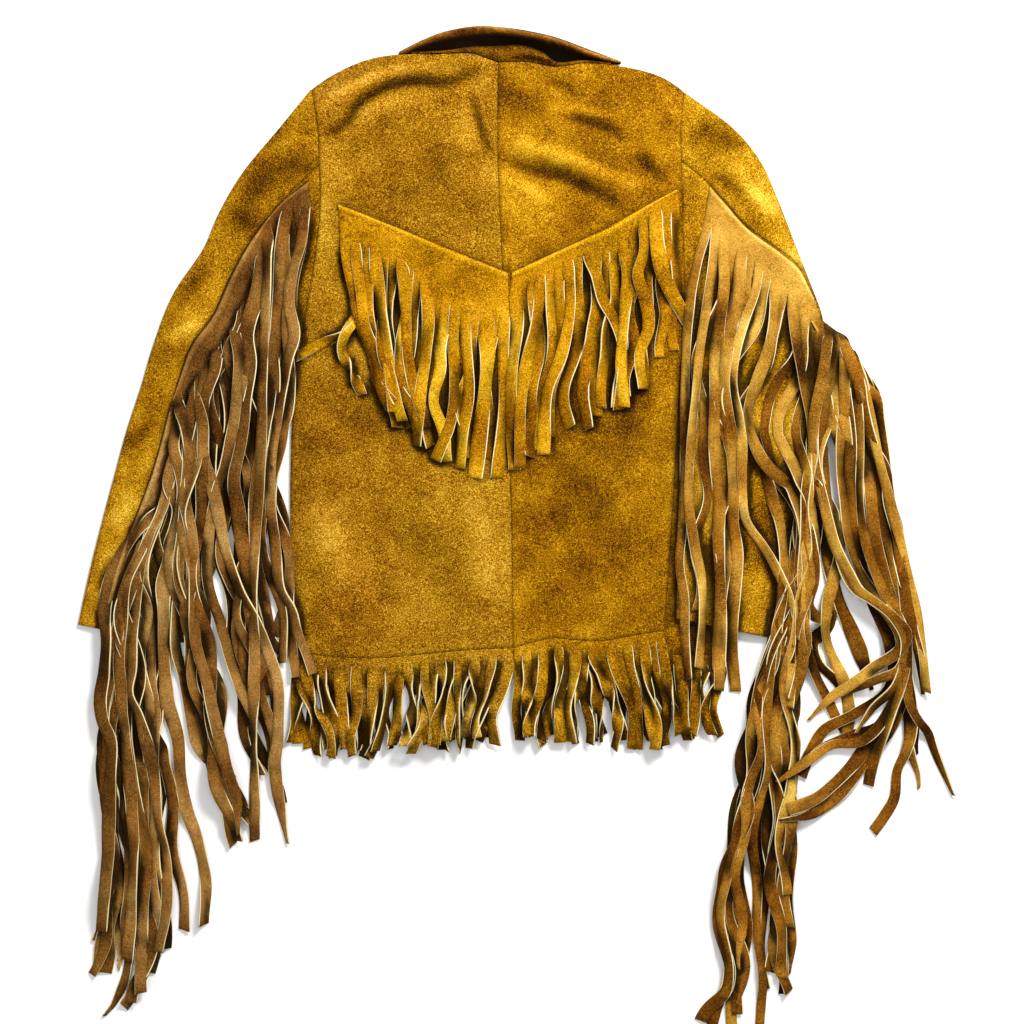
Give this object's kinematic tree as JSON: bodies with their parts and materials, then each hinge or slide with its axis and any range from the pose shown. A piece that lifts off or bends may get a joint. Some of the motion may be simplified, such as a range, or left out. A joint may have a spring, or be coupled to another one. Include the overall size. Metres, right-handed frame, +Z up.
{
  "type": "fringed suede jacket, laid face down",
  "caption": "Fringed suede western jacket laid flat, back up, with collar, two-piece sleeves and long cut fringe.",
  "frame": {"origin": "middle of the underside, where the fronts and the sleeve fringe rest", "axes": "+Z up, out of the back; +Y from hem to collar; the wearer's left is at -X"},
  "size_m": [0.989, 1.1402, 0.0175],
  "materials": {
    "back_left_suede": "brushed suede, browner and coarser",
    "body_suede": "brushed mottled suede",
    "sleeve_suede": "brushed mottled suede",
    "collar_suede": "brushed suede, darker",
    "fringe_gold": "suede strips with pale cut edges",
    "fringe_brown": "suede strips with pale cut edges"
  },
  "bodies": {
    "root": {"back_left": "back_left_suede", "back_right": "body_suede", "front_left": "body_suede", "front_right": "body_suede", "collar_stand": "body_suede", "collar_fall": "collar_suede", "sleeve_left_top": "sleeve_suede", "sleeve_left_under": "sleeve_suede", "sleeve_right_top": "sleeve_suede", "sleeve_right_under": "sleeve_suede", "hem_fringe_front_left": "fringe_gold", "hem_fringe_front_right": "fringe_gold", "hem_fringe_back_left": "fringe_gold", "hem_fringe_back_right": "fringe_gold", "yoke_fringe_left": "fringe_gold", "yoke_fringe_right": "fringe_gold", "sleeve_fringe_left_upper": "fringe_brown", "sleeve_fringe_left_lower": "fringe_brown", "sleeve_fringe_right_upper": "fringe_brown", "sleeve_fringe_right_lower": "fringe_brown"}
  },
  "joints": []
}
